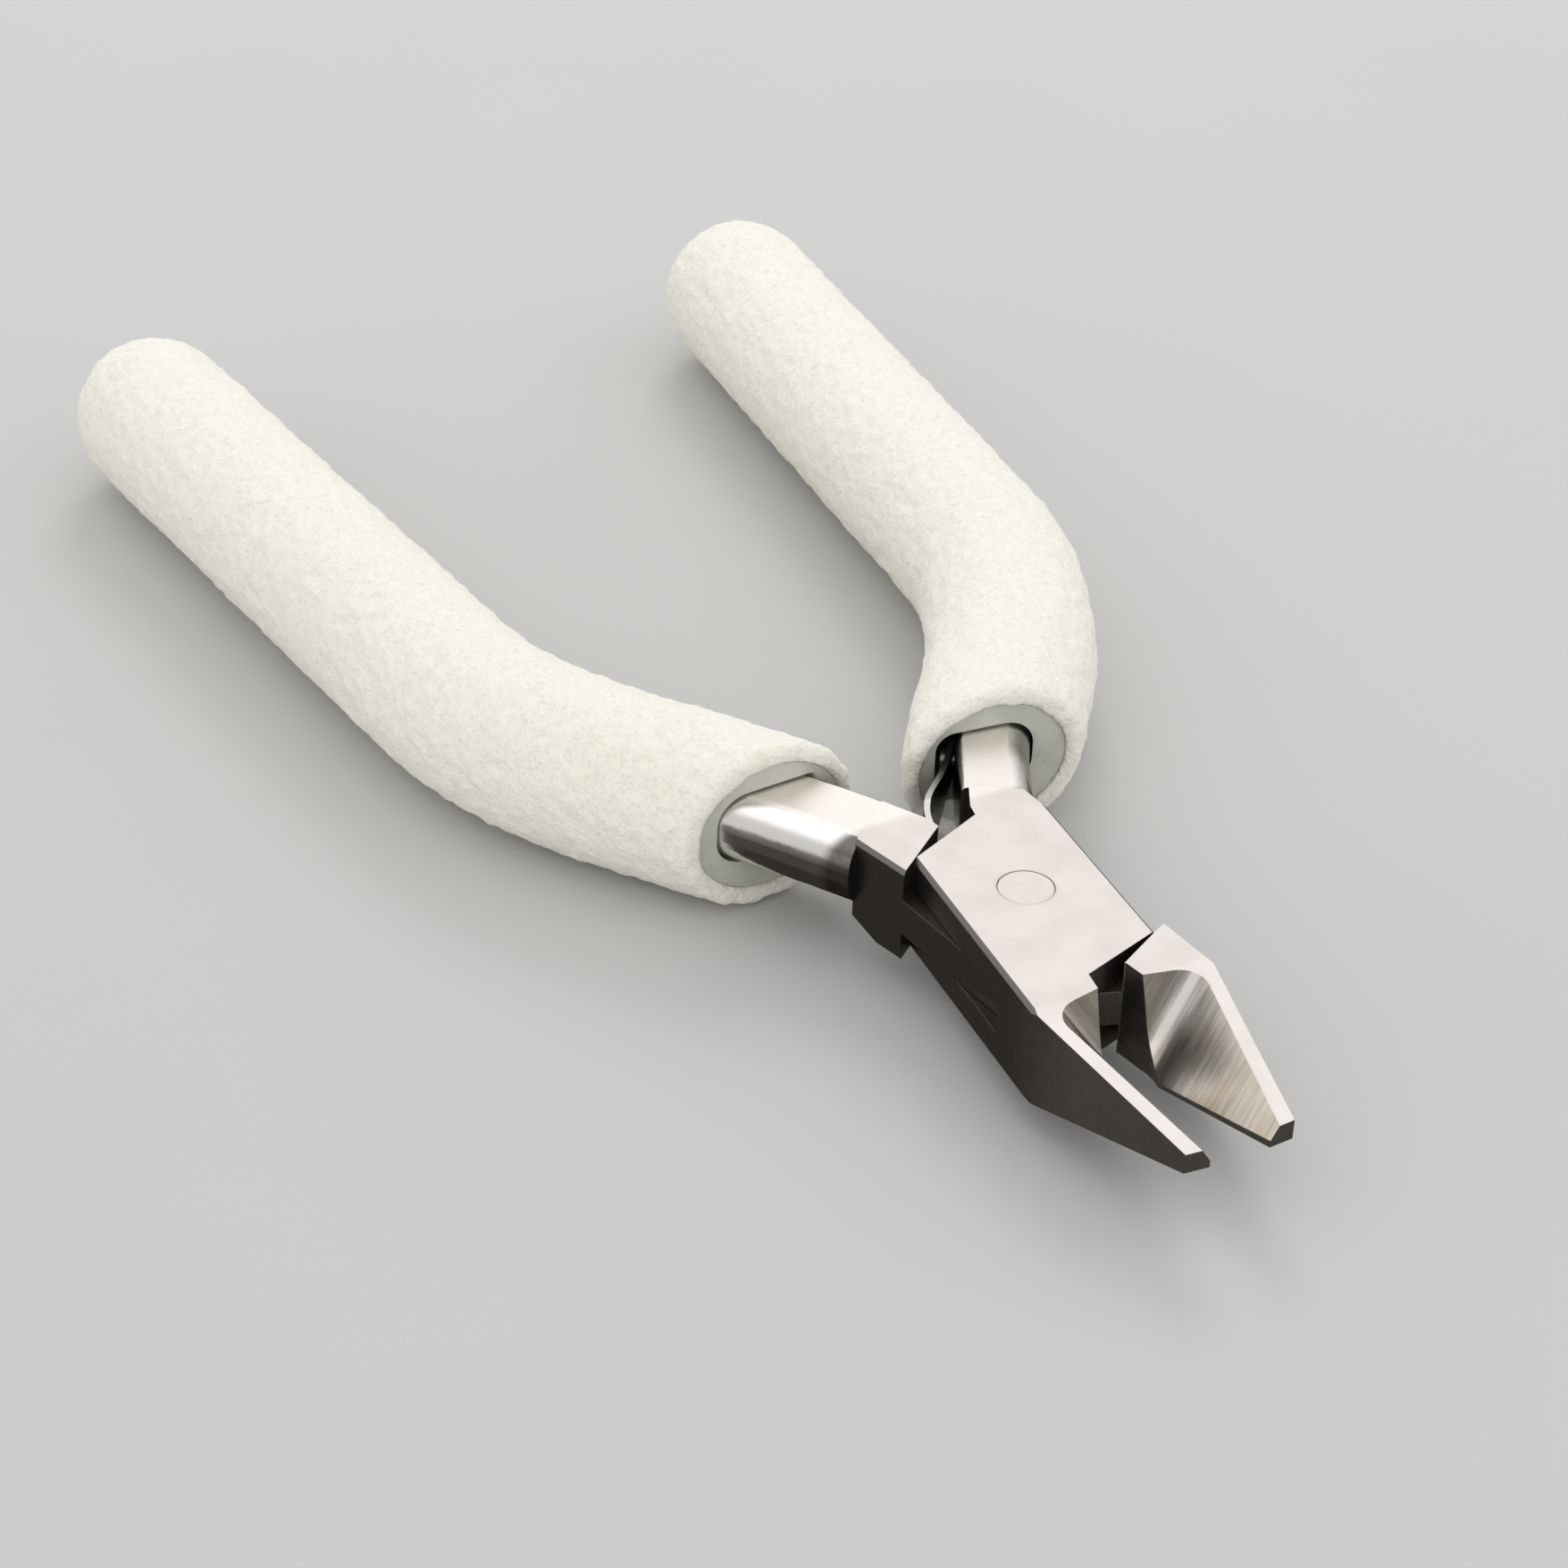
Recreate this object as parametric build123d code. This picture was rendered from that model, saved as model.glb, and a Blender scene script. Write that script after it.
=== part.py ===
from build123d import *
import os
from math import radians, tan

# Precision sprue nippers with a box joint. All lengths are millimetres and all angles degrees.
# Origin: pivot axis at the underside of the joint. +Y runs to the cutting tips, +Z out of the joint's top.
# Each lever is drawn with the jaws closed and on the side where lever A's jaw lies (+X). Lever B is then
# mirrored, and both are turned outwards to the open stop, which is the rest position.

# Joint
JOINT_T = 7.7  # thickness of the closed joint
MID_Z = JOINT_T / 2
PLATE_T = 2.4  # each outer plate of lever A
TONGUE_GAP = 0.05  # running gap above and below lever B's tongue
HALF_OPEN = 4.82  # each lever's turn from closed to the open stop
HALF_WIDTH = 6.1
PIN_R = 2.08
PIN_FIT = 0.012  # pin in lever A, radial
PIN_RUNNING = 0.03  # pin in lever B, radial
PIN_CHAMFER = 0.08
SIDE_CHAMFER = 0.3  # along the long outer sides of the joint
CORNER_R = 0.4  # ground corners at the rear of a plate

# Jaw
JAW_START = 13.2  # the jaw narrows in plan and height from here
TIP_Y = 28.0
TIP_TOP_Z = 5.03
TIP_UNDER_Z = 3.47
TIP_WIDTH = 1.95
EDGE_GAP = 0.015  # half of the gap between the closed cutting edges
EDGE_HEEL = (EDGE_GAP, 16.15)
EDGE_HEEL_Z = 1.02
RELIEF_HEEL = (0.6, 10.9)  # clear gap behind the cutting edges
RELIEF_WIDE = (0.75, 12.6)
RELIEF_BEND = (0.56, 14.7)
STRIP_HEEL = (4.9, 13.85)  # inner border of the flat left along the jaw's outer side
STRIP_TIP = (0.72, 27.85)
HOLLOW_TILT = 14.0  # rear wall of the ground hollow, from vertical
HOLLOW_R = 2.0  # the grinding wheel's corner
HOLLOW_REACH = 25.0  # the wheel is far larger than the jaw

# Shoulders: a plate ends on these lines, and the other lever's full thickness starts behind them
PLATE_FRONT = [(-HALF_WIDTH, 7.9), RELIEF_HEEL]
PLATE_REAR = [(5.9, -6.0), (-0.65, -9.65)]
SHOULDER_FRONT = [(6.14, 8.22), (0.83, 10.7)]
SHOULDER_REAR = [(-6.4, -5.83), (-0.89, -9.53)]
SHOULDER_SPAN = 9.0  # half width of the cleared space between the shoulders

# Necks: outer side from the joint back to the tang, then the inner side forwards
NECK_A = [(-HALF_WIDTH, -9.3), (-5.75, -11.3), (-1.9, -13.4), (-0.8, -10.8)]
NECK_B = [(-6.25, 1.0), (-6.4, -5.83), (-7.15, -10.9), (-2.6, -14.3), (-1.07, -10.8), (-0.89, -9.53)]

# Tangs and grips: stations along the centreline of a grip, from inside the neck
PATH_A = [(-3.9, -12.3), (-6.9, -19.5), (-10.9, -26.1), (-15.0, -32.8), (-18.1, -40.2), (-19.9, -54.0)]
PATH_B = [(-4.6, -12.1), (-8.3, -19.5), (-12.6, -26.9), (-16.3, -33.5), (-18.8, -40.2), (-19.9, -54.0)]
GRIP_Z = 4.4  # the grips sit a little above the joint's middle
MOUTH_Y = -19.6  # both grips are cut square to the tool, not to their own centrelines
TANG_END_Y = -92.0
SLEEVE_END_Y = -97.0
DOME_Y = -99.0
TANG_A = (2.8, 2.8)  # from the centreline to the inside and outside faces
TANG_B = (3.2, 3.8)
TANG_BOTTOM_Z = 2.1
TANG_TOP_Z = 7.6
TANG_OUTER_R = 2.3
TANG_INNER_R = 0.5
SLEEVE_R = (5.4, 5.1)  # half width and half height
SLEEVE_GAP = 0.2  # between a tang and its sleeve
LEAF_ROOM = 1.3  # extra bore inside tang A, for the leaf spring's root
LEAF_ROOM_R = 1.4
SLEEVE_INSET = 0.3  # the sleeve stops this far inside the foam's mouth
FOAM_R = 6.7
FOAM_FIT = 0.03
LIP_R = 0.7
NECK_RAMP = [(-7.5, 0.0), (-13.0, TANG_BOTTOM_Z)]  # the neck's underside rises to the tang

# Leaf spring and its rivet
LEAF_T = 0.45
LEAF_ROOT_H = 3.0
LEAF_TIP_H = 5.8
LEAF_PATH = [
    (-6.0, -24.25),
    (-4.87, -22.3),
    (-3.5, -20.25),
    (-1.75, -17.75),
    (0.33, -15.1),
    (1.75, -12.6),
    (2.25, -10.5),
]
LEAF_TAPER_Y = (-20.0, -14.0)
LEAF_PLAY = 0.05  # under the leaf on its seat
RIVET_R = 0.6
RIVET_HOLE_R = 0.72
RIVET_HEAD_R = 1.0
RIVET_HEAD_T = 0.4
RIVET_HEAD_GAP = 0.14  # lets the leaf rock under the head
RIVET_DEPTH = 2.0
RIVET_FIT = 0.01


def line_at(line, x):
    """Height of a straight plan line at x."""
    (x0, y0), (x1, y1) = line
    return y0 + (y1 - y0) * (x - x0) / (x1 - x0)


def slab(outline, bottom, top):
    """Straight-sided plan outline between two heights."""
    return extrude(Plane.XY.offset(bottom) * make_face(Polyline(*outline, close=True)), top - bottom)


def lever_plan(neck):
    """Plan of one lever from the tang's root to the tip."""
    lines = Curve() + [
        Polyline(RELIEF_HEEL, PLATE_FRONT[0], *neck, PLATE_REAR[1], PLATE_REAR[0]),
        Polyline(PLATE_REAR[0], (HALF_WIDTH, JAW_START), (TIP_WIDTH, TIP_Y), (EDGE_GAP, TIP_Y), EDGE_HEEL),
        ThreePointArc(EDGE_HEEL, RELIEF_BEND, RELIEF_WIDE),
        Line(RELIEF_WIDE, RELIEF_HEEL),
    ]
    return make_face(lines)


def height_profile():
    """Side view: the jaw thins from both faces to the tip, and the neck's underside rises to the tang."""
    rear = -SHOULDER_SPAN * 2
    side = [
        (rear, TANG_BOTTOM_Z),
        *reversed(NECK_RAMP),
        (JAW_START, 0),
        (TIP_Y, TIP_UNDER_Z),
        (TIP_Y, TIP_TOP_Z),
        (JAW_START, JOINT_T),
        (rear, JOINT_T),
    ]
    return extrude(Plane.YZ * make_face(Polyline(*side, close=True)), SHOULDER_SPAN, both=True)


def facing(direction, target):
    """The direction, or its reverse, that points to the target's side."""
    return direction if direction.dot(target) > 0 else direction * -1


def ground_hollow():
    """Space swept by the wheel that leaves the bevel over the cutting edge and the hollow's rear wall."""
    strip_heel = Vector(*STRIP_HEEL, JOINT_T)
    strip_run = Vector(*STRIP_TIP, TIP_TOP_Z) - strip_heel
    bevel_up = strip_run.cross(Vector(*EDGE_HEEL, EDGE_HEEL_Z) - strip_heel).normalized()
    rear_run = (strip_heel - Vector(*RELIEF_WIDE, JOINT_T)).normalized()
    rear_fall = Vector(-rear_run.Y, rear_run.X, 0) * tan(radians(HOLLOW_TILT)) - Vector(0, 0, 1)
    rear_front = rear_run.cross(rear_fall).normalized()
    valley = bevel_up.cross(rear_front).normalized()
    along_bevel = facing(valley.cross(bevel_up), rear_front)
    up_rear = facing(valley.cross(rear_front), bevel_up)
    wedge = Polyline(
        strip_heel + along_bevel * HOLLOW_REACH,
        strip_heel,
        strip_heel + up_rear * HOLLOW_REACH,
        close=True,
    )
    wheel = extrude(make_face(wedge), HOLLOW_REACH, dir=valley, both=True)
    return fillet(wheel.edges().sort_by_distance(strip_heel)[0], HOLLOW_R)


def shoulder_space():
    """Plan of the space between the shoulders, where only one lever's layer may pass."""
    rear_y = line_at(SHOULDER_REAR, 1)
    front_y = line_at(SHOULDER_FRONT, -1)
    return [
        (-SHOULDER_SPAN, line_at(SHOULDER_REAR, -SHOULDER_SPAN)),
        (1, rear_y),
        (SHOULDER_SPAN, rear_y),
        (SHOULDER_SPAN, line_at(SHOULDER_FRONT, SHOULDER_SPAN)),
        (-1, front_y),
        (-SHOULDER_SPAN, front_y),
    ]


def lever_head(neck):
    """Joint, neck and jaw at full thickness, ground on the outside but not yet slotted."""
    head = extrude(lever_plan(neck), JOINT_T)
    sides = [
        edge
        for edge in head.edges()
        if abs((edge % 0.5).Y) > 0.98 and abs(edge.center().X) > HALF_WIDTH - 0.5 and edge.center().Y < JAW_START
    ]
    head = chamfer(sides, SIDE_CHAMFER)
    corner = head.edges().filter_by(Axis.Z).sort_by_distance((*PLATE_REAR[0], MID_Z))[0]
    return fillet(corner, CORNER_R) & height_profile() - ground_hollow()


def centreline(stations, end_y):
    """Centreline of a tang or grip from inside the neck back to end_y."""
    points = [Vector(x, y, GRIP_Z) for x, y in stations]
    bend = Spline(*points, tangents=[(points[1] - points[0]).normalized(), (0, -1, 0)])
    return Wire([bend, Line(points[-1], (points[-1].X, end_y, GRIP_Z))])


def across(path):
    """Section plane at the start of a path: X level and to the tool's inside, Y up."""
    back = path % 0
    return Plane(origin=path @ 0, x_dir=Vector(0, 0, 1).cross(back), z_dir=back)


def tube(path, section):
    """Bar of one section along a path."""
    return sweep(across(path) * section, path)


def ahead_of(y):
    """Block that takes off everything ahead of a grip's mouth."""
    return Pos(0, y + FOAM_R * 4, 0) * Box(FOAM_R * 16, FOAM_R * 8, FOAM_R * 8)


def bar_section(inside, outside, margin=0, inner_r=TANG_INNER_R):
    """Section of a tang, flat inside and rounded outside, or of a bore that clears it by a margin."""
    size = (inside + outside + 2 * margin, TANG_TOP_Z - TANG_BOTTOM_Z + 2 * margin)
    corner = Pos(inside + margin, TANG_TOP_Z - GRIP_Z + margin)
    section = corner * Rectangle(*size, align=(Align.MAX, Align.MAX))
    section = fillet(section.vertices().group_by(Axis.X)[0], TANG_OUTER_R)
    return fillet(section.vertices().group_by(Axis.X)[-1], inner_r)


def tang(stations, inside, outside):
    """Bar that carries the grip."""
    return tube(centreline(stations, TANG_END_Y), bar_section(inside, outside))


def rivet_plane():
    """Plane on tang A's flat, centred on the rivet, Z to the inside."""
    root, rivet = (Vector(x, y, MID_Z) for x, y in LEAF_PATH[:2])
    inside = Vector(0, 0, 1).cross(root - rivet).normalized()
    return Plane(origin=rivet - inside * (LEAF_T / 2 + LEAF_PLAY), x_dir=(0, 0, 1), z_dir=inside)


def lever_a():
    """Lever with the two outer plates; its tang carries the leaf spring."""
    head = lever_head(NECK_A) - slab(shoulder_space(), PLATE_T, JOINT_T - PLATE_T)
    rivet_hole = Cylinder(RIVET_R + RIVET_FIT, RIVET_DEPTH * 2)
    return head + (tang(PATH_A, *TANG_A) - rivet_plane() * rivet_hole) - Cylinder(PIN_R + PIN_FIT, JOINT_T * 3)


def lever_b():
    """Lever with the middle tongue, drawn on lever A's side."""
    space = shoulder_space()
    tongue_z = PLATE_T + TONGUE_GAP
    head = lever_head(NECK_B) - slab(space, -1, tongue_z) - slab(space, JOINT_T - tongue_z, JOINT_T + 1)
    return head + tang(PATH_B, *TANG_B) - Cylinder(PIN_R + PIN_RUNNING, JOINT_T * 3)


def pivot_pin():
    """Plain pin, flush with both plates."""
    pin = Pos(0, 0, MID_Z) * Cylinder(PIN_R, JOINT_T)
    return chamfer(pin.edges().filter_by(GeomType.CIRCLE), PIN_CHAMFER)


def leaf_spring():
    """Sheet leaf, low inside the grip and as high as the neck where it bears on lever B."""
    path = Spline(*[(x, y, MID_Z) for x, y in LEAF_PATH])
    strip = sweep(across(path) * Rectangle(LEAF_T, LEAF_TIP_H), path)
    root_y, full_y = LEAF_TAPER_Y
    upper = [
        (LEAF_PATH[0][1] - 1, MID_Z + LEAF_ROOT_H / 2),
        (root_y, MID_Z + LEAF_ROOT_H / 2),
        (full_y, MID_Z + LEAF_TIP_H / 2),
        (0, MID_Z + LEAF_TIP_H / 2),
    ]
    lower = [(y, JOINT_T - z) for y, z in reversed(upper)]
    outline = Plane.YZ * make_face(Polyline(*upper, *lower, close=True))
    hole = Cylinder(RIVET_HOLE_R, RIVET_DEPTH * 2)
    return strip & extrude(outline, SHOULDER_SPAN * 2, both=True) - rivet_plane() * hole


def spring_rivet():
    """Rivet that holds the leaf on tang A."""
    head_z = LEAF_PLAY + LEAF_T + RIVET_HEAD_GAP
    shank = Pos(0, 0, (head_z - RIVET_DEPTH) / 2) * Cylinder(RIVET_R, RIVET_DEPTH + head_z)
    head = Pos(0, 0, head_z + RIVET_HEAD_T / 2) * Cylinder(RIVET_HEAD_R, RIVET_HEAD_T)
    return rivet_plane() * (shank + head)


def sleeve(stations, inside, outside, inner_r=TANG_INNER_R):
    """Plastic tube between a tang and its foam."""
    path = centreline(stations, SLEEVE_END_Y)
    bore = tube(path, bar_section(inside, outside, SLEEVE_GAP, inner_r))
    return tube(path, Ellipse(*SLEEVE_R)) - bore - ahead_of(MOUTH_Y - SLEEVE_INSET)


def foam_grip(stations):
    """Thick foam grip with a rounded mouth and a domed end."""
    path = centreline(stations, DOME_Y)
    body = tube(path, Circle(FOAM_R)) + Pos(path @ 1) * Sphere(FOAM_R) - ahead_of(MOUTH_Y)
    mouth_edge = body.faces().sort_by(Axis.Y)[-1].edges()
    hollow = tube(centreline(stations, SLEEVE_END_Y - FOAM_FIT), Ellipse(*(r + FOAM_FIT for r in SLEEVE_R)))
    return fillet(mouth_edge, LIP_R) - hollow


def open_a(shape):
    """Turns a lever A piece from closed to the open stop."""
    return Rot(0, 0, -HALF_OPEN) * shape


def open_b(shape):
    """Mirrors a lever B piece to its own side and turns it to the open stop."""
    return Rot(0, 0, HALF_OPEN) * mirror(shape, about=Plane.YZ)


NODES = {
    "lever_a": open_a(lever_a()),
    "pivot_pin": open_a(pivot_pin()),
    "leaf_spring": open_a(leaf_spring()),
    "spring_rivet": open_a(spring_rivet()),
    "sleeve_a": open_a(sleeve(PATH_A, TANG_A[0] + LEAF_ROOM, TANG_A[1], LEAF_ROOM_R)),
    "foam_grip_a": open_a(foam_grip(PATH_A)),
    "lever_b": open_b(lever_b()),
    "sleeve_b": open_b(sleeve(PATH_B, *TANG_B)),
    "foam_grip_b": open_b(foam_grip(PATH_B)),
}

os.makedirs("parts", exist_ok=True)
for name, shape in NODES.items():
    export_step(shape, f"parts/{name}.step")
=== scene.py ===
from math import cos, radians, sin

import bpy
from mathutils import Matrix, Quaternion, Vector, noise
from mathutils.bvhtree import BVHTree


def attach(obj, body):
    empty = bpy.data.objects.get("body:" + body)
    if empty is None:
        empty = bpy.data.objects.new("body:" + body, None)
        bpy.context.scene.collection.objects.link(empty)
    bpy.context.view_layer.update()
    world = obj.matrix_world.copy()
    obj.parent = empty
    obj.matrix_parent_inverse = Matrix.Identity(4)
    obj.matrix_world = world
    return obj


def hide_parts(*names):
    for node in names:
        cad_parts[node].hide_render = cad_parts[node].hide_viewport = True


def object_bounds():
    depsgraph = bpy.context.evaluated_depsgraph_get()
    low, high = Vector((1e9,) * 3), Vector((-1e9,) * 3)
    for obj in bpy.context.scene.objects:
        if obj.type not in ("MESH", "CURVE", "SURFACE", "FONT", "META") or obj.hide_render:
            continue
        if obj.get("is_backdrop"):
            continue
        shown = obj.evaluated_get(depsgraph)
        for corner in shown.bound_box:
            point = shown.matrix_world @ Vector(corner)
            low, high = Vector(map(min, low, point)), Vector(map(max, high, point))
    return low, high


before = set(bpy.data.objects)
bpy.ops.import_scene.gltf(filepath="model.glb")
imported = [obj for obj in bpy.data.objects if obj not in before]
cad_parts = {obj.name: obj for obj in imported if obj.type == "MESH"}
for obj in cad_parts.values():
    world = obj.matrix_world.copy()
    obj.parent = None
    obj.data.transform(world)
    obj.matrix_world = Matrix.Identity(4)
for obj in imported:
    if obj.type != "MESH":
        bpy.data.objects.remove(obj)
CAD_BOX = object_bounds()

# Looks for the precision sprue nippers. Lengths are metres unless a name ends in _MM, and shader coordinates
# are millimetres in the frame at rest. +Y runs to the cutting tips and +Z out of the top of the joint.
MM = 0.001

# Camera: solved from the joint's straight edges and the grips' mouths
CAMERA_PLACE_MM = (130.294, 196.751, 169.07)
CAMERA_YAW = radians(29.31)
CAMERA_PITCH = radians(33.11)
CAMERA_ROLL = radians(2.19)
CAMERA_LENS_MM = 93.08
CAMERA_SENSOR_MM = 36.0

# Floor, lights and surroundings
FLOOR_SIZE = 6.0
FLOOR_COLOUR = (0.53, 0.525, 0.515)
FLOOR_CLOUD = 0.96
FLOOR_CLOUD_PER_MM = 0.02
KEY_ELEVATION = radians(40)
KEY_DISTANCE = 0.75
KEY_SIZE = 0.26
KEY_POWER = 1.2
SOFT_FRONT = (1.25, 1.25, 1.255)  # falls on matt surfaces from the camera's side
SOFT_BEHIND = (0.95, 0.95, 0.955)
SKY_DOWN = (0.030, 0.027, 0.024)
SKY_LOW = (0.13, 0.12, 0.105)
SKY_SIDE = (0.62, 0.61, 0.60)
SKY_BEHIND = (0.98, 0.97, 0.96)
SKY_TOP = (1.15, 1.15, 1.16)
HORIZON = (-0.2, 0.0)  # heights of a direction over which one band of the sky turns into the next
LOW_BAND = (-0.75, -0.15)
TOP_BAND = (0.55, 0.85)
BEHIND_RISE = 0.3
MIRRORED_TURN = (-0.4, 0.6)  # from the camera's side to the side behind the tool
SOFT_TURN = (-0.6, 0.6)

# Foam grips
FOAM_VOXEL = 0.305 * MM
FOAM_SMOOTHING = 1
FOAM_LUMP = (5.0 * MM, 0.06 * MM)  # size and depth of each relief
FOAM_CRUMB = (1.4 * MM, 0.15 * MM)
FOAM_GRAIN = (0.75 * MM, 0.13 * MM)
FOAM_RIM = 1.2 * MM  # the relief grows over this width at the sleeve
FOAM_COLOUR = (0.86, 0.832, 0.745)
# Painted shade: the pits of the pebbled skin are painted darker.
FOAM_PIT_SHADE = (0.79, 0.757, 0.665)
FOAM_PITS = (1.25, 0.85)  # relief at which the pits' painted shade starts and is full
FOAM_PORES_PER_MM = 2.4
FOAM_PORE_DEPTH = 0.35  # against the grain and the crumbs
FOAM_GRAIN_PER_MM = 4.5
FOAM_CRUMBS_PER_MM = 1.6
FOAM_BUMP_MM = 0.17
FOAM_GLOW = (1.2 * MM, 1.1 * MM, 0.9 * MM)  # how far red, green and blue light travel inside

# Sleeves
SLEEVE_COLOURS = ((0.47, 0.47, 0.405), (0.54, 0.54, 0.47))
SLEEVE_CLOUD_PER_MM = 0.6
SLEEVE_GRAIN_PER_MM = 6.0
SLEEVE_ROUGHNESS = (0.32, 0.48)
SLEEVE_BUMP_MM = 0.02
SLEEVE_GLOW = (0.9 * MM, 1.0 * MM, 0.8 * MM)

# Steel colours
FLAT_COLOUR = (0.85, 0.795, 0.755)
# Painted shade: the steel's sides are painted much darker than its flats, less so along the jaws.
SIDE_SHADE_COLOUR = (0.33, 0.31, 0.295)
JAW_SIDE_COLOUR = (0.78, 0.75, 0.71)
# Painted shade: the narrow chamfers between flats and sides are painted nearly black.
CHAMFER_SHADE_COLOUR = (0.18, 0.17, 0.16)
# Painted highlight: the polished tangs' sides and tops are painted brighter than the flats.
TANG_HIGHLIGHT_COLOUR = (0.93, 0.915, 0.90)
TANG_TOP_HIGHLIGHT = (0.98, 0.935, 0.89)
# Painted shade: each tang's side towards the other tang and its far side are painted dark.
TANG_INNER_SHADE = (0.13, 0.12, 0.11)
TANG_FAR_SHADE = (0.36, 0.35, 0.33)
# Painted shade: the leaf spring's upright faces are painted nearly black; its edges keep a steel colour.
SPRING_FACE_SHADE = (0.10, 0.09, 0.08)
SPRING_EDGE_COLOUR = (0.80, 0.78, 0.75)
RIVET_COLOUR = (0.6, 0.58, 0.56)
# Painted shade: flats between the joint's outer plates are painted nearly black.
INSIDE_SHADE_COLOUR = (0.085, 0.07, 0.06)
HOLLOW_DARK = (0.50, 0.48, 0.455)
HOLLOW_LIGHT = (0.74, 0.715, 0.675)
WALL_SHADE = (0.62, 0.61, 0.60)  # painted shade darkens the rear wall and painted light makes the tip paler
TIP_PAINTED_LIGHT = (1.25, 1.22, 1.16)
# Painted highlight: a bright band painted along the hollow's valley.
VALLEY_HIGHLIGHT_COLOUR = (1.0, 0.98, 0.95)
HEAT_TINT = (0.55, 0.44, 0.34)
RING_COLOUR = (0.70, 0.62, 0.57)
FLAT_CLOUD = 0.93  # brightness of the darker clouds and marks
FLAT_CLOUD_PER_MM = 0.35
SIDE_CLOUD = 0.72
SMALL_CLOUD = 0.94
CLOUD_RANGE = (0.3, 0.7)
HEAT_SHARE = 0.4
HEAT_PER_MM = 0.3
HEAT_RANGE = (0.45, 0.65)
RING_SHARE = 0.6

# Where each steel finish, painted shade and painted highlight lies
JAW_START_MM = 12.0
TANG_START_MM = -11.5
TANG_INNER_MM = (-9.0, -10.0)
JAW_SIDE_MM = (JAW_START_MM - 3.0, JAW_START_MM + 6.0)
TIP_MM = (JAW_START_MM + 3.0, JAW_START_MM + 10.0)
FADE_MM = 0.5
INNER_FADE_MM = 0.1
INNER_TOP_MM = 5.5  # between the outer plates the flats are painted dark as shade
INNER_BOTTOM_MM = 2.2
PIN_RADIUS_MM = 2.1
PIN_RING_MM = 0.28
FLAT_UP = (0.96, 0.98)  # upward share of a face's direction, from none of a finish to all of it
CHAMFER_UP = (0.45, 0.6)
HOLLOW_UP = (0.1, 0.15)
SPRING_EDGE_UP = (0.5, 0.9)
HOLLOW_FACE_UP = (0.15, 0.95)
NORMAL_DIGITS = 2
ALONG_VALLEY = (0.06, 0.03)  # share of a face's direction that runs along the valley
WALL_MATCH = (0.9, 0.97)
VALLEY_MATCH = (0.975, 0.998)
TANG_INNER_SIDE = (-1.0, -2.0)  # X of the place times X of the direction: below 0 on the inner sides
TANG_FAR_SIDE = (-0.2, -0.6)  # X of the direction

# Grinding strokes and roughness
EDGE_RADIUS = 0.06 * MM
EDGE_SAMPLES = 6
FLAT_GRAIN = (0.45, 0.89, 0.0)
SIDE_GRAIN = (0.0, 0.96, -0.28)
FLAT_STROKES = (7.0, 30.0)  # strokes per millimetre, stretch and, where it is given, detail
SIDE_STROKES = (5.0, 18.0)
FINE_STROKES = (12.0, 40.0)
BROAD_STROKES = (2.2, 14.0, 4.0)
FINE_SHARE = 0.6
SIDE_STROKE_RANGE = (0.35, 0.7)
HOLLOW_STROKE_RANGE = (0.36, 0.64)
FLAT_ROUGHNESS = (0.34, 0.46)
SIDE_ROUGHNESS = (0.24, 0.40)
TANG_ROUGHNESS = 0.2
HOLLOW_ROUGHNESS = (0.2, 0.4)
VALLEY_ROUGHNESS = 0.14
SMALL_ROUGHNESS = (0.28, 0.42)
STROKE_DEPTH_MM = 0.0025
HOLLOW_DEPTH_MM = 0.012
SMALL_DEPTH_MM = 0.002


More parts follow.
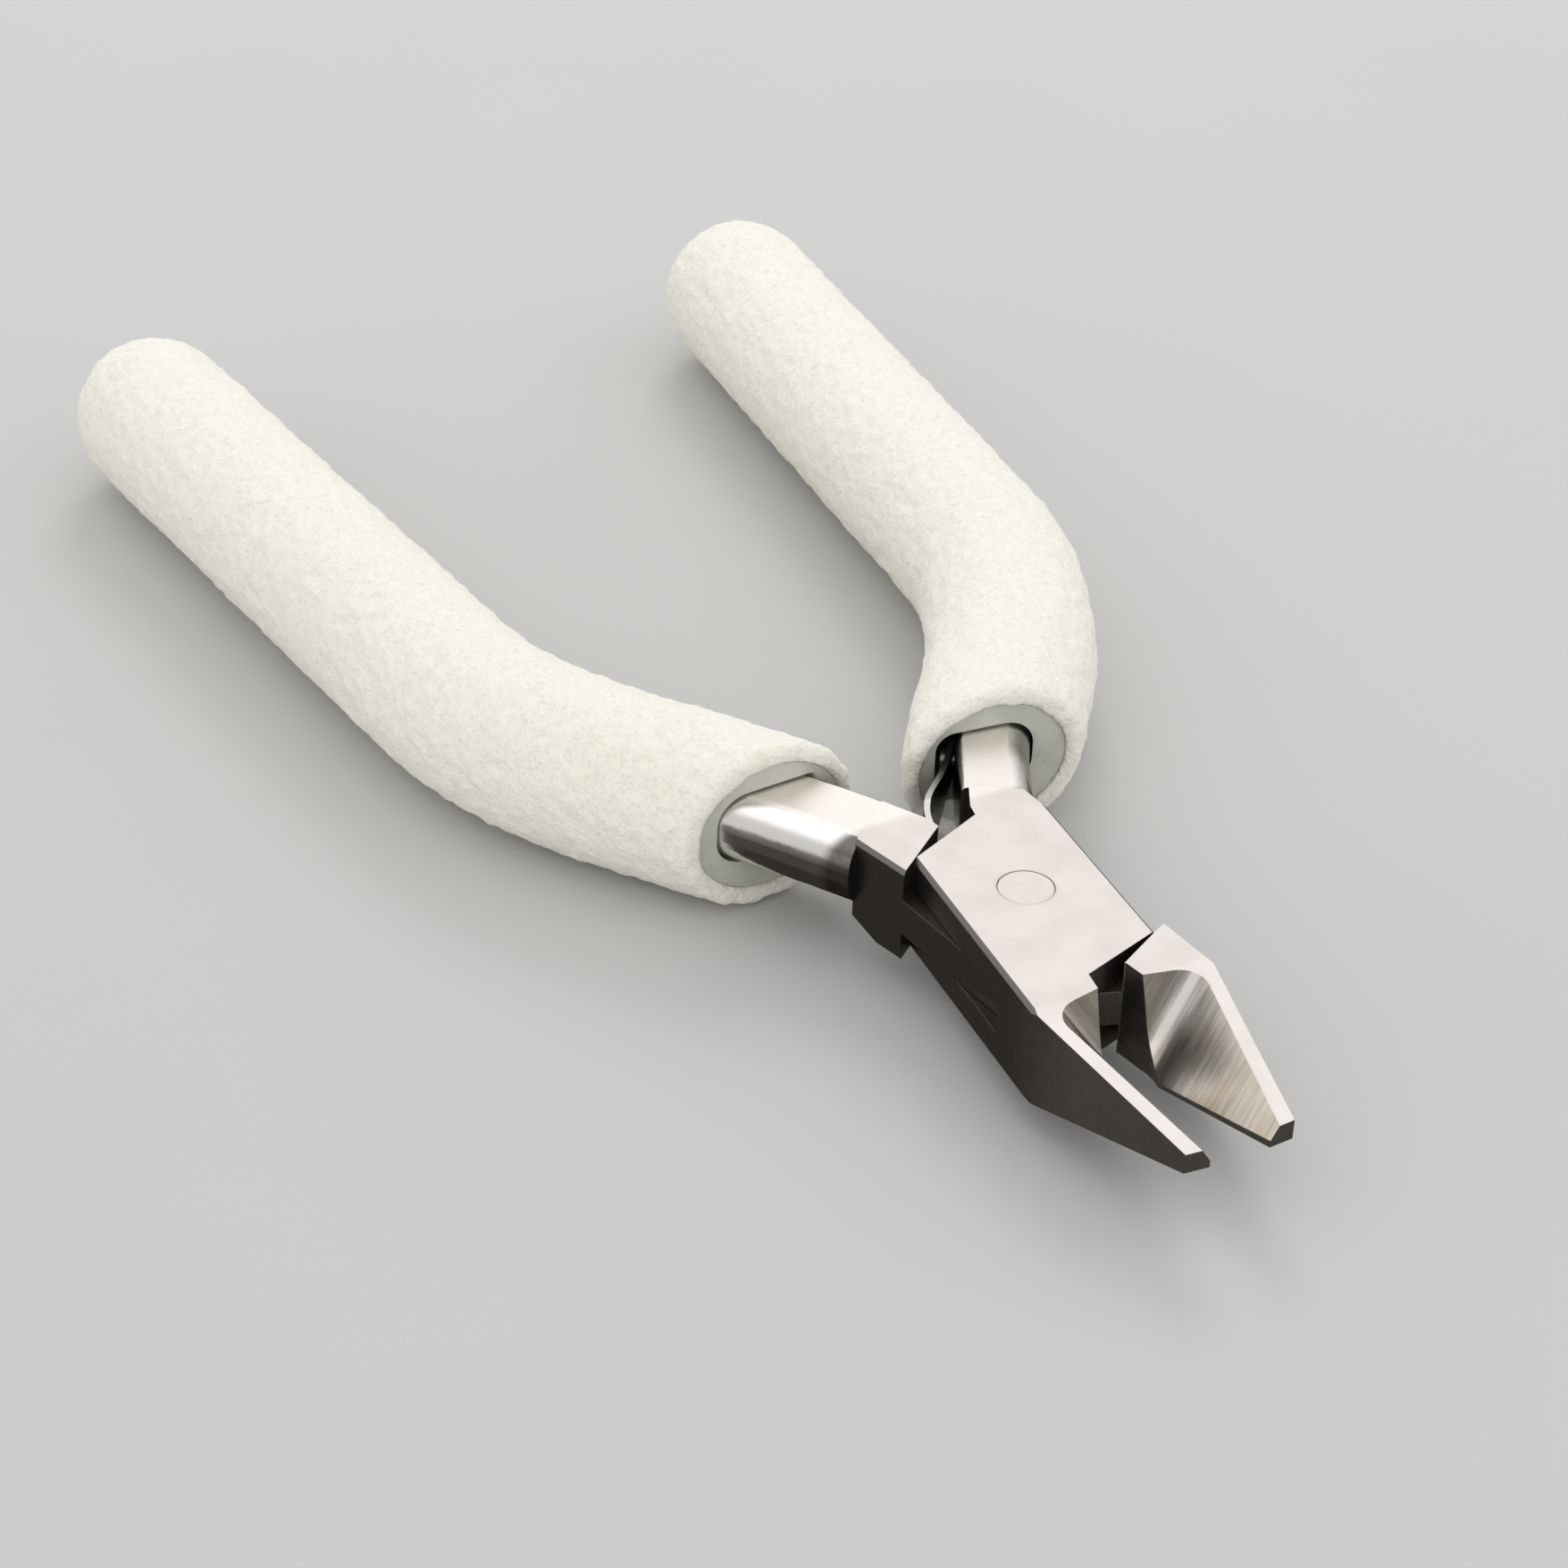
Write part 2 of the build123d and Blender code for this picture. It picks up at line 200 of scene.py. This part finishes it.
class Graph:
    """Short calls that build one node tree."""

    def __init__(self, tree):
        self.tree = tree
        tree.nodes.clear()

    def node(self, kind, inputs=None, **settings):
        """Adds a node; inputs maps a socket's name or number to a value or to another node's output."""
        made = self.tree.nodes.new("ShaderNode" + kind)
        for name, value in settings.items():
            setattr(made, name, value)
        for key, value in (inputs or {}).items():
            if isinstance(value, bpy.types.NodeSocket):
                self.tree.links.new(value, made.inputs[key])
            else:
                made.inputs[key].default_value = value
        return made

    def math(self, operation, a, b=0.0):
        return self.node("Math", {0: a, 1: b}, operation=operation).outputs[0]

    def vector(self, operation, a, b):
        key = 3 if operation == "SCALE" else 1
        made = self.node("VectorMath", {0: a, key: b}, operation=operation)
        return made.outputs["Value" if operation == "DOT_PRODUCT" else "Vector"]

    def step(self, value, low, high):
        """0 below low, 1 above high and smooth between; low may be above high."""
        ends = {"Value": value, "From Min": low, "From Max": high}
        return self.node("MapRange", ends, interpolation_type="SMOOTHSTEP").outputs[0]

    def spread(self, value, low, high):
        """Stretches 0..1 to low..high."""
        return self.node("MapRange", {"Value": value, "To Min": low, "To Max": high}).outputs[0]

    def mix(self, share, a, b):
        made = self.node("Mix", {"Factor": share}, data_type="RGBA")
        for key, value in ((6, a), (7, b)):
            if isinstance(value, bpy.types.NodeSocket):
                self.tree.links.new(value, made.inputs[key])
            else:
                made.inputs[key].default_value = (*value, 1)
        return made.outputs[2]

    def blend(self, share, a, b):
        """Mixes two numbers."""
        return self.node("Mix", {"Factor": share, 2: a, 3: b}, data_type="FLOAT").outputs[0]

    def noise(self, point, per_mm, detail=2.0):
        return self.node("TexNoise", {"Vector": point, "Scale": per_mm, "Detail": detail}).outputs[0]

    def point(self):
        """Place in the frame at rest, in millimetres."""
        place = self.node("TexCoord").outputs["Object"]
        return self.vector("SCALE", place, 1 / MM)

    def facing(self):
        """Direction the surface looks in, in the frame at rest."""
        normal = self.node("NewGeometry").outputs["Normal"]
        turn = self.node("VectorTransform", {0: normal}, convert_from="WORLD", convert_to="OBJECT")
        turn.vector_type = "NORMAL"
        return turn.outputs[0]

    def strokes(self, point, along, per_mm, stretch, detail=3.0):
        """Grinding strokes: noise stretched along one direction."""
        run = self.vector("DOT_PRODUCT", point, along)
        squeeze = self.math("MULTIPLY", run, 1 - 1 / stretch)
        squeezed = self.vector("SUBTRACT", point, self.vector("SCALE", along, squeeze))
        return self.noise(squeezed, per_mm, detail)

    def bump(self, height, depth_mm, normal=None):
        inputs = {"Height": height, "Distance": depth_mm * MM, "Strength": 1.0}
        if normal is not None:
            inputs["Normal"] = normal
        return self.node("Bump", inputs).outputs[0]


def material(name, build):
    """Makes a material whose Principled shader takes the inputs that build returns."""
    made = bpy.data.materials.new(name)
    made.use_nodes = True
    graph = Graph(made.node_tree)
    shader = graph.node("BsdfPrincipled", build(graph))
    graph.node("OutputMaterial", {"Surface": shader.outputs[0]})
    return made


def off_pin_edge(g, point):
    """Distance from the pin's rim in millimetres, seen from above."""
    level = g.vector("MULTIPLY", point, (1.0, 1.0, 0.0))
    radius = g.node("VectorMath", {0: level}, operation="LENGTH").outputs["Value"]
    return g.math("ABSOLUTE", g.math("SUBTRACT", radius, PIN_RADIUS_MM))


def rounded_edge(g, point):
    """Normal that catches light along the ground edges, but not where the pin was ground flush."""
    radius = g.math("MULTIPLY", g.step(off_pin_edge(g, point), PIN_RING_MM, 2 * PIN_RING_MM), EDGE_RADIUS)
    return g.node("Bevel", {"Radius": radius}, samples=EDGE_SAMPLES).outputs[0]


def hollow_planes(lever):
    """Normals of the hollow's two planes: its rear wall and the bevel over the cutting edge."""
    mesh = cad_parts[lever].data
    planes = {}
    for face in mesh.polygons:
        if face.center.y > JAW_START_MM * MM and HOLLOW_FACE_UP[0] < face.normal.z < HOLLOW_FACE_UP[1]:
            key = tuple(round(c, NORMAL_DIGITS) for c in face.normal)
            planes[key] = planes.get(key, 0) + face.area
    largest = sorted(planes, key=planes.get)[-2:]
    return [Vector(key).normalized() for key in sorted(largest, key=lambda key: key[2])]


def pin_ring(g, point, colour):
    """Faint warm ring on the joint's top where the pin was pressed in and ground flush."""
    on_ring = g.step(off_pin_edge(g, point), PIN_RING_MM, 0.0)
    return g.mix(g.math("MULTIPLY", on_ring, RING_SHARE), colour, RING_COLOUR)


def shaded(colour, brightness):
    """The colour at another brightness."""
    return tuple(c * brightness for c in colour)


def lever_zones(g, point, facing, wall, bevel):
    """How much each finish, painted shade and painted highlight applies at a place on a lever, from 0 to 1.
    """
    looks = g.node("SeparateXYZ", {0: facing}).outputs
    place = g.node("SeparateXYZ", {0: point}).outputs
    forward, height = place["Y"], place["Z"]
    level = g.math("ABSOLUTE", looks["Z"])
    flat = g.step(level, *FLAT_UP)

    across_valley = g.math("ABSOLUTE", g.vector("DOT_PRODUCT", facing, wall.cross(bevel).normalized()))
    hollow = g.math("MULTIPLY", g.step(across_valley, *ALONG_VALLEY), g.step(looks["Z"], *HOLLOW_UP))
    hollow = g.math("MULTIPLY", hollow, g.step(forward, JAW_START_MM - FADE_MM, JAW_START_MM))

    outwards = g.math("MULTIPLY", looks["X"], place["X"])
    tang_inner = g.math("MULTIPLY", g.step(outwards, *TANG_INNER_SIDE), g.step(forward, *TANG_INNER_MM))

    # Flats between the outer plates, which are painted dark as shade.
    inside = g.math("MULTIPLY", g.step(height, INNER_BOTTOM_MM, INNER_BOTTOM_MM + INNER_FADE_MM), flat)
    inside = g.math("MULTIPLY", inside, g.step(height, INNER_TOP_MM, INNER_TOP_MM - INNER_FADE_MM))
    inside = g.math("MULTIPLY", inside, g.step(forward, JAW_START_MM + FADE_MM, JAW_START_MM))
    return {
        "flat": flat,
        "chamfer": g.step(level, *CHAMFER_UP),
        "jaw side": g.step(forward, *JAW_SIDE_MM),
        "tang": g.step(forward, TANG_START_MM + FADE_MM, TANG_START_MM - FADE_MM),
        "tang far": g.step(looks["X"], *TANG_FAR_SIDE),
        "tang inner": tang_inner,
        "hollow": hollow,
        "wall": g.step(g.vector("DOT_PRODUCT", facing, wall), *WALL_MATCH),
        "valley": g.step(g.vector("DOT_PRODUCT", facing, (wall + bevel).normalized()), *VALLEY_MATCH),
        "tip": g.step(forward, *TIP_MM),
        "inside": inside,
    }


def lever_strokes(g, point, valley):
    """Grinding strokes of the flats, the sides and the hollow."""
    fine = g.math("MULTIPLY", g.strokes(point, valley, *FINE_STROKES), FINE_SHARE)
    broad = g.math("MULTIPLY", g.strokes(point, valley, *BROAD_STROKES), 1 - FINE_SHARE)
    return {
        "flat": g.strokes(point, FLAT_GRAIN, *FLAT_STROKES),
        "side": g.strokes(point, SIDE_GRAIN, *SIDE_STROKES),
        "hollow": g.math("ADD", fine, broad),
    }


def flat_colour(g, point, zones):
    """Faintly clouded flats, with the pin's ring and tang tops painted brighter as a highlight."""
    cloud = g.step(g.noise(point, FLAT_CLOUD_PER_MM, 3.0), *CLOUD_RANGE)
    colour = g.mix(cloud, FLAT_COLOUR, shaded(FLAT_COLOUR, FLAT_CLOUD))
    return pin_ring(g, point, g.mix(zones["tang"], colour, TANG_TOP_HIGHLIGHT))


def side_colour(g, zones, strokes):
    """Painted shade on brushed sides, chamfers and the tangs' far and inner sides; painted highlight on
    tangs.
    """
    colour = g.mix(zones["jaw side"], SIDE_SHADE_COLOUR, JAW_SIDE_COLOUR)
    colour = g.mix(g.step(strokes, *SIDE_STROKE_RANGE), colour, g.vector("SCALE", colour, SIDE_CLOUD))
    colour = g.mix(zones["chamfer"], colour, CHAMFER_SHADE_COLOUR)
    colour = g.mix(zones["tang"], colour, g.mix(zones["tang far"], TANG_HIGHLIGHT_COLOUR, TANG_FAR_SHADE))
    return g.mix(zones["tang inner"], colour, TANG_INNER_SHADE)


def hollow_colour(g, point, zones, strokes):
    """Coarsely ground hollow: painted shade on the rear wall, painted highlight in the valley, pale, slightly
    burnt bevel.
    """
    colour = g.mix(g.step(strokes, *HOLLOW_STROKE_RANGE), HOLLOW_DARK, HOLLOW_LIGHT)
    burnt = g.step(g.noise(point, HEAT_PER_MM, 2.0), *HEAT_RANGE)
    colour = g.mix(g.math("MULTIPLY", burnt, HEAT_SHARE), colour, HEAT_TINT)
    colour = g.mix(zones["wall"], colour, g.vector("MULTIPLY", colour, WALL_SHADE))
    colour = g.mix(zones["tip"], colour, g.vector("MULTIPLY", colour, TIP_PAINTED_LIGHT))
    return g.mix(zones["valley"], colour, VALLEY_HIGHLIGHT_COLOUR)


def lever_roughness(g, zones, strokes):
    """Roughness of every finish on a lever."""
    side = g.blend(zones["tang"], g.spread(strokes["side"], *SIDE_ROUGHNESS), TANG_ROUGHNESS)
    hollow = g.blend(zones["valley"], g.spread(strokes["hollow"], *HOLLOW_ROUGHNESS), VALLEY_ROUGHNESS)
    ground = g.blend(zones["flat"], side, g.spread(strokes["flat"], *FLAT_ROUGHNESS))
    return g.blend(zones["hollow"], ground, hollow)


def lever_bump(g, point, zones, strokes):
    """Shallow strokes over rounded edges; the tangs are smooth and the hollow is scored deeper."""
    side = g.blend(zones["tang"], strokes["side"], 0.5)
    lines = g.blend(zones["flat"], side, strokes["flat"])
    lines = g.blend(zones["hollow"], lines, strokes["hollow"])
    depth = g.math("MULTIPLY", g.blend(zones["hollow"], STROKE_DEPTH_MM, HOLLOW_DEPTH_MM), MM)
    inputs = {"Height": lines, "Distance": depth, "Normal": rounded_edge(g, point)}
    return g.node("Bump", inputs).outputs[0]


def lever_steel(lever):
    """Satin ground steel: fine on the flats, brushed on the sides, coarse in the jaw's hollow."""
    wall, bevel = hollow_planes(lever)

    def build(g):
        point = g.point()
        zones = lever_zones(g, point, g.facing(), wall, bevel)
        strokes = lever_strokes(g, point, wall.cross(bevel).normalized())
        side = side_colour(g, zones, strokes["side"])
        hollow = hollow_colour(g, point, zones, strokes["hollow"])
        colour = g.mix(zones["flat"], side, flat_colour(g, point, zones))
        colour = g.mix(zones["hollow"], colour, hollow)
        return {
            # painted shade on the flats between the outer plates
            "Base Color": g.mix(zones["inside"], colour, INSIDE_SHADE_COLOUR),
            "Metallic": 1.0,
            "Roughness": lever_roughness(g, zones, strokes),
            "Normal": lever_bump(g, point, zones, strokes),
        }

    return material(lever + "_ground_steel", build)


def small_steel(name, colour, marks_per_mm, upright_shade=None):
    """Satin steel for small parts, with faint cloudy marks; faces that stand upright may get a painted shade.
    """

    def build(g):
        point = g.point()
        marks = g.noise(point, marks_per_mm, 3.0)
        shade = g.mix(g.step(marks, *CLOUD_RANGE), colour, shaded(colour, SMALL_CLOUD))
        shade = pin_ring(g, point, shade)
        if upright_shade:
            up = g.node("SeparateXYZ", {0: g.facing()}).outputs["Z"]
            edge = g.step(g.math("ABSOLUTE", up), *SPRING_EDGE_UP)
            shade = g.mix(edge, upright_shade, shade)
        return {
            "Base Color": shade,
            "Metallic": 1.0,
            "Roughness": g.spread(marks, *SMALL_ROUGHNESS),
            "Normal": g.bump(marks, SMALL_DEPTH_MM, rounded_edge(g, point)),
        }

    return material(name, build)


def sleeve_plastic():
    """Pale grey-green moulded tube."""

    def build(g):
        point = g.point()
        cloud = g.noise(point, SLEEVE_CLOUD_PER_MM, 3.0)
        grain = g.noise(point, SLEEVE_GRAIN_PER_MM, 2.0)
        return {
            "Base Color": g.mix(g.step(cloud, *CLOUD_RANGE), *SLEEVE_COLOURS),
            "Roughness": g.spread(grain, *SLEEVE_ROUGHNESS),
            "Subsurface Weight": 0.25,
            "Subsurface Radius": SLEEVE_GLOW,
            "Subsurface Scale": 1.0,
            "Normal": g.bump(grain, SLEEVE_BUMP_MM),
        }

    return material("sleeve_plastic_moulded", build)


def grip_foam():
    """Cream closed-cell foam with a fine pebbled skin."""

    def build(g):
        point = g.point()
        pores = g.node("TexVoronoi", {"Vector": point, "Scale": FOAM_PORES_PER_MM}).outputs["Distance"]
        grain = g.noise(point, FOAM_GRAIN_PER_MM, 4.0)
        crumbs = g.noise(point, FOAM_CRUMBS_PER_MM, 3.0)
        height = g.math("ADD", g.math("MULTIPLY", pores, FOAM_PORE_DEPTH), g.math("ADD", grain, crumbs))
        # painted shade in the pits of the pebbled skin
        pits = g.step(height, *FOAM_PITS)
        return {
            "Base Color": g.mix(pits, FOAM_COLOUR, FOAM_PIT_SHADE),
            "Roughness": 0.92,
            "Specular IOR Level": 0.25,
            "Sheen Weight": 0.25,
            "Sheen Roughness": 0.6,
            "Subsurface Weight": 0.2,
            "Subsurface Radius": FOAM_GLOW,
            "Subsurface Scale": 1.0,
            "Normal": g.bump(height, FOAM_BUMP_MM),
        }

    return material("grip_foam_pebbled", build)


def paint(node, look):
    """Gives a CAD node a better material."""
    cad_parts[node].material_slots[0].link = "OBJECT"
    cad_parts[node].material_slots[0].material = look


def remeshed(source, name):
    """New object with an even, smoothed skin over a copy of a CAD node's mesh."""
    piece = bpy.data.objects.new(name, source.data.copy())
    bpy.context.scene.collection.objects.link(piece)
    skin = piece.modifiers.new("skin", "REMESH")
    skin.mode = "VOXEL"
    skin.voxel_size = FOAM_VOXEL
    relax = piece.modifiers.new("relax", "SMOOTH")
    relax.iterations = FOAM_SMOOTHING
    final = bpy.data.meshes.new_from_object(piece.evaluated_get(bpy.context.evaluated_depsgraph_get()))
    piece.modifiers.clear()
    piece.data = final
    return piece


def skin_of(node):
    """Search tree over a CAD node's surface."""
    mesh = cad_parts[node].data
    return BVHTree.FromPolygons([v.co for v in mesh.vertices], [p.vertices[:] for p in mesh.polygons])


def foam_relief(place):
    """Height of the foam's crumbly surface at a place."""
    return sum(noise.noise(place / size) * depth for size, depth in (FOAM_LUMP, FOAM_CRUMB, FOAM_GRAIN))


def foam_grip(side, look):
    """Foam grip with a pebbled skin, smooth where it hugs its sleeve."""
    piece = remeshed(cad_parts["foam_grip_" + side], "grip_foam_" + side)
    sleeve = skin_of("sleeve_" + side)
    skin = [(v.co.copy(), v.normal.copy()) for v in piece.data.vertices]
    for vertex, (place, outwards) in zip(piece.data.vertices, skin):
        share = min(sleeve.find_nearest(place)[3] / FOAM_RIM, 1.0)
        vertex.co = place + outwards * foam_relief(place) * share
    piece.data.polygons.foreach_set("use_smooth", [True] * len(piece.data.polygons))
    piece.data.materials.clear()
    piece.data.materials.append(look)
    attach(piece, f"lever_{side}_body")
    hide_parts("foam_grip_" + side)


def floor():
    """Plain pale floor under the grips; the steel reflects a dark room below the horizon instead of it."""
    bpy.ops.mesh.primitive_plane_add(size=FLOOR_SIZE, location=(0, 0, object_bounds()[0].z))
    plane = bpy.context.object
    plane.name = "floor"
    plane.visible_glossy = False

    def build(g):
        cloud = g.noise(g.point(), FLOOR_CLOUD_PER_MM, 3.0)
        return {"Base Color": g.mix(cloud, FLOOR_COLOUR, shaded(FLOOR_COLOUR, FLOOR_CLOUD)), "Roughness": 0.7}

    plane.data.materials.append(material("floor_matt", build))
    plane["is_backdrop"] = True


def area_light(name, place, size, power):
    """Square soft light aimed at the middle of the tool."""
    light = bpy.data.lights.new(name, "AREA")
    light.size = size
    light.energy = power
    holder = bpy.data.objects.new(name, light)
    bpy.context.scene.collection.objects.link(holder)
    middle = (CAD_BOX[0] + CAD_BOX[1]) / 2
    holder.location = middle + place
    holder.rotation_euler = (-place).to_track_quat("-Z", "Y").to_euler()
    return holder


def lights():
    """A window behind the tool, opposite the camera. The steel reflects the surroundings instead of it."""
    level = Vector((-sin(CAMERA_YAW), -cos(CAMERA_YAW), 0)) * cos(KEY_ELEVATION)
    key = (level + Vector((0, 0, sin(KEY_ELEVATION)))) * KEY_DISTANCE
    area_light("window", key, KEY_SIZE, KEY_POWER).visible_glossy = False


def sky():
    """Soft even light on matt surfaces. The steel mirrors a studio that is bright above and dark below."""
    world = bpy.data.worlds.new("studio")
    world.use_nodes = True
    bpy.context.scene.world = world
    g = Graph(world.node_tree)
    direction = g.node("TexCoord").outputs["Generated"]
    height = g.node("SeparateXYZ", {0: direction}).outputs["Z"]
    behind = g.vector("DOT_PRODUCT", direction, (-sin(CAMERA_YAW), -cos(CAMERA_YAW), BEHIND_RISE))
    above = g.mix(g.step(behind, *MIRRORED_TURN), SKY_SIDE, SKY_BEHIND)
    above = g.mix(g.step(height, *TOP_BAND), above, SKY_TOP)
    below = g.mix(g.step(height, *LOW_BAND), SKY_DOWN, SKY_LOW)
    mirrored = g.mix(g.step(height, *HORIZON), below, above)
    soft = g.mix(g.step(behind, *SOFT_TURN), SOFT_FRONT, SOFT_BEHIND)
    colour = g.mix(g.node("LightPath").outputs["Is Glossy Ray"], soft, mirrored)
    background = g.node("Background", {"Color": colour, "Strength": 1.0})
    g.node("OutputWorld", {"Surface": background.outputs[0]})
    bpy.context.scene.view_settings.view_transform = "Standard"


def camera():
    """Camera at the solved place and angle."""
    lens = bpy.data.cameras.new("camera")
    lens.lens = CAMERA_LENS_MM
    lens.sensor_width = CAMERA_SENSOR_MM
    lens.clip_start = 10 * MM
    holder = bpy.data.objects.new("camera", lens)
    bpy.context.scene.collection.objects.link(holder)
    level = cos(CAMERA_PITCH)
    forward = Vector((-sin(CAMERA_YAW) * level, -cos(CAMERA_YAW) * level, -sin(CAMERA_PITCH)))
    holder.rotation_mode = "QUATERNION"
    holder.rotation_quaternion = forward.to_track_quat("-Z", "Y") @ Quaternion((0, 0, 1), CAMERA_ROLL)
    holder.location = Vector(CAMERA_PLACE_MM) * MM
    bpy.context.scene.camera = holder


for side in "ab":
    paint("lever_" + side, lever_steel("lever_" + side))
plastic = sleeve_plastic()
foam = grip_foam()
for side in "ab":
    paint("sleeve_" + side, plastic)
    foam_grip(side, foam)
paint("pivot_pin", small_steel("pin_satin", FLAT_COLOUR, marks_per_mm=1.5))
spring = small_steel("spring_sheet", SPRING_EDGE_COLOUR, marks_per_mm=0.8, upright_shade=SPRING_FACE_SHADE)
paint("leaf_spring", spring)
paint("spring_rivet", small_steel("rivet_satin", RIVET_COLOUR, marks_per_mm=1.0))
floor()
lights()
sky()
camera()
